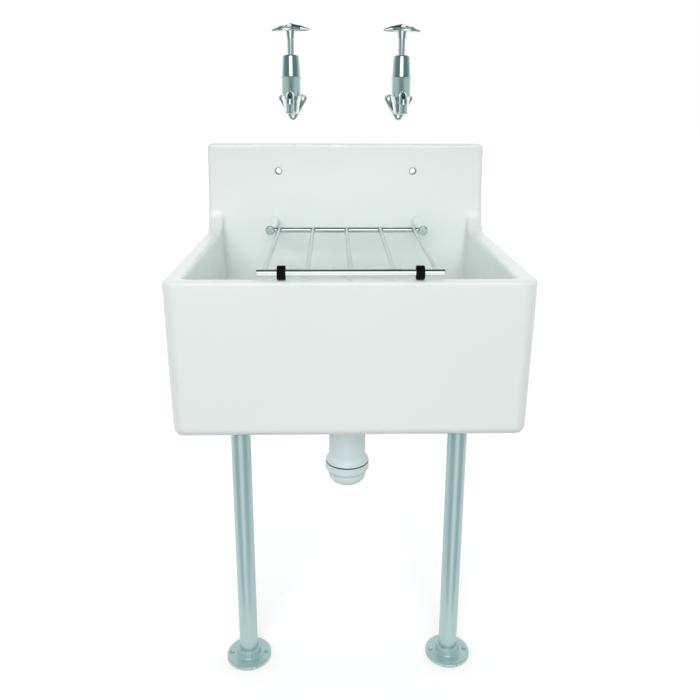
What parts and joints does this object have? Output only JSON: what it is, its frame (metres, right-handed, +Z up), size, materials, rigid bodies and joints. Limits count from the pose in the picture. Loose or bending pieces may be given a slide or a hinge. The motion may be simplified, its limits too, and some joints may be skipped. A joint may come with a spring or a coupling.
{
  "type": "cleaner's sink",
  "caption": "Wall-hung fireclay cleaner's sink on tubular front legs, with a splashback, hinged bucket grating, bottle trap and a pair of wall-mounted bib taps.",
  "frame": {"origin": "midway between the two wall-fixing holes, on the back face of the splashback", "axes": "+X along the wall to the right as seen from the room, +Y into the wall, +Z up"},
  "size_m": [0.47, 0.401, 0.9324],
  "materials": {
    "glaze": "gloss white glaze",
    "chrome": "bright chrome plate",
    "steel": "polished stainless steel",
    "leg_finish": "satin grey-green coating on steel tube",
    "trap_plastic": "moulded, semi-gloss",
    "rubber": "matt",
    "brass": "turned, unplated",
    "fibre": "pressed fibre sealing washer",
    "nylon": "white nylon washer"
  },
  "bodies": {
    "sink": {"sink_body": "glaze", "waste_body": "chrome", "waste_seat_washer": "rubber", "waste_under_washer": "rubber", "waste_backnut": "brass", "trap_inlet_washer": "rubber", "trap_inlet_nut": "trap_plastic", "trap_body": "trap_plastic", "trap_base_seal": "rubber", "trap_cup": "trap_plastic", "trap_outlet_washer": "rubber", "trap_outlet_nut": "trap_plastic", "left_leg": "leg_finish", "right_leg": "leg_finish", "left_foot_flange": "leg_finish", "right_foot_flange": "leg_finish", "left_head_flange": "leg_finish", "right_head_flange": "leg_finish", "leg_pads": "rubber", "leg_grub_screws": "steel", "left_post": "chrome", "right_post": "chrome", "post_seal_washers": "nylon", "post_back_washers": "steel", "post_nuts": "steel", "left_wall_plate": "chrome", "left_tail_washer": "fibre", "left_tap_body": "chrome", "left_headwork": "brass", "left_gland_packing": "rubber", "left_gland_nut": "brass", "left_cover": "chrome", "right_wall_plate": "chrome", "right_tail_washer": "fibre", "right_tap_body": "chrome", "right_headwork": "brass", "right_gland_packing": "rubber", "right_gland_nut": "brass", "right_cover": "chrome"},
    "grating": {"grating_back_bar": "steel", "grating_front_bar": "chrome", "grating_rods": "steel", "grating_buffers": "rubber"},
    "left_jumper": {"left_jumper": "brass", "left_jumper_washer": "rubber"},
    "left_spindle": {"left_spindle": "chrome", "left_handle": "chrome", "left_handle_screw": "steel", "left_handle_cap": "chrome"},
    "right_jumper": {"right_jumper": "brass", "right_jumper_washer": "rubber"},
    "right_spindle": {"right_spindle": "chrome", "right_handle": "chrome", "right_handle_screw": "steel", "right_handle_cap": "chrome"}
  },
  "joints": [
    {"name": "grating_hinge", "type": "hinge", "parent": "sink", "child": "grating", "pos_m": [0, -0.112, -0.085], "axis": [-1, 0, 0], "range_deg": [0, 97]},
    {"name": "left_lift", "type": "slide", "parent": "sink", "child": "left_jumper", "axis": [0, 0, 1], "range_m": [0, 0.0048]},
    {"name": "left_turn", "type": "hinge", "parent": "left_jumper", "child": "left_spindle", "pos_m": [-0.0885, -0.045, 0.15], "axis": [0, 0, 1], "range_deg": [0, 540]},
    {"name": "right_lift", "type": "slide", "parent": "sink", "child": "right_jumper", "axis": [0, 0, 1], "range_m": [0, 0.0048]},
    {"name": "right_turn", "type": "hinge", "parent": "right_jumper", "child": "right_spindle", "pos_m": [0.0885, -0.045, 0.15], "axis": [0, 0, 1], "range_deg": [0, 540]}
  ],
  "couplings": [
    {"joint": "left_lift", "follows": "left_turn", "m_per_rad": 0.000509},
    {"joint": "right_lift", "follows": "right_turn", "m_per_rad": 0.000509}
  ]
}
